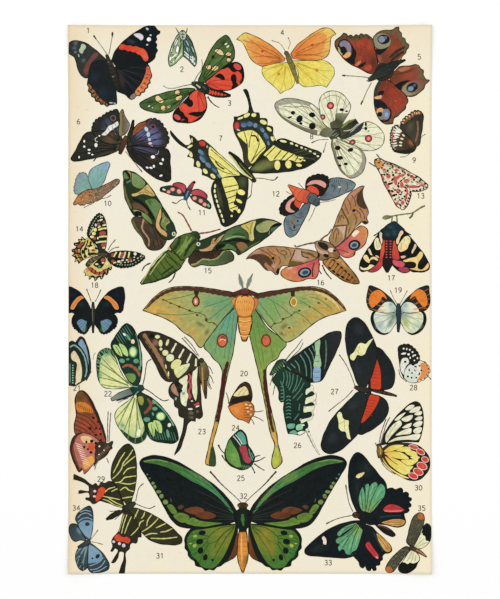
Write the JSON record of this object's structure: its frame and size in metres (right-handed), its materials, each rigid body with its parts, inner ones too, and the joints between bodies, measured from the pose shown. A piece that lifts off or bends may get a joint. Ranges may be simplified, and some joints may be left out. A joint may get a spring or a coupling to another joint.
{
  "type": "printed butterfly chart",
  "caption": "Flat rectangular sheet of plate paper printed in colour with butterflies and moths, lying face up with its corners slightly lifted.",
  "frame": {"origin": "on the surface that the sheet lies on, under the middle of the sheet", "axes": "+Z out of the printed face, +Y towards the top edge of the print, +X towards its right edge"},
  "size_m": [0.19, 0.287, 0.0025],
  "materials": {
    "plate_paper": "uncoated cream plate paper, toned with age, matte",
    "printing_ink": "flat colour lithograph inks on paper, faint satin"
  },
  "bodies": {
    "root": {"sheet": "plate_paper"}
  },
  "joints": []
}
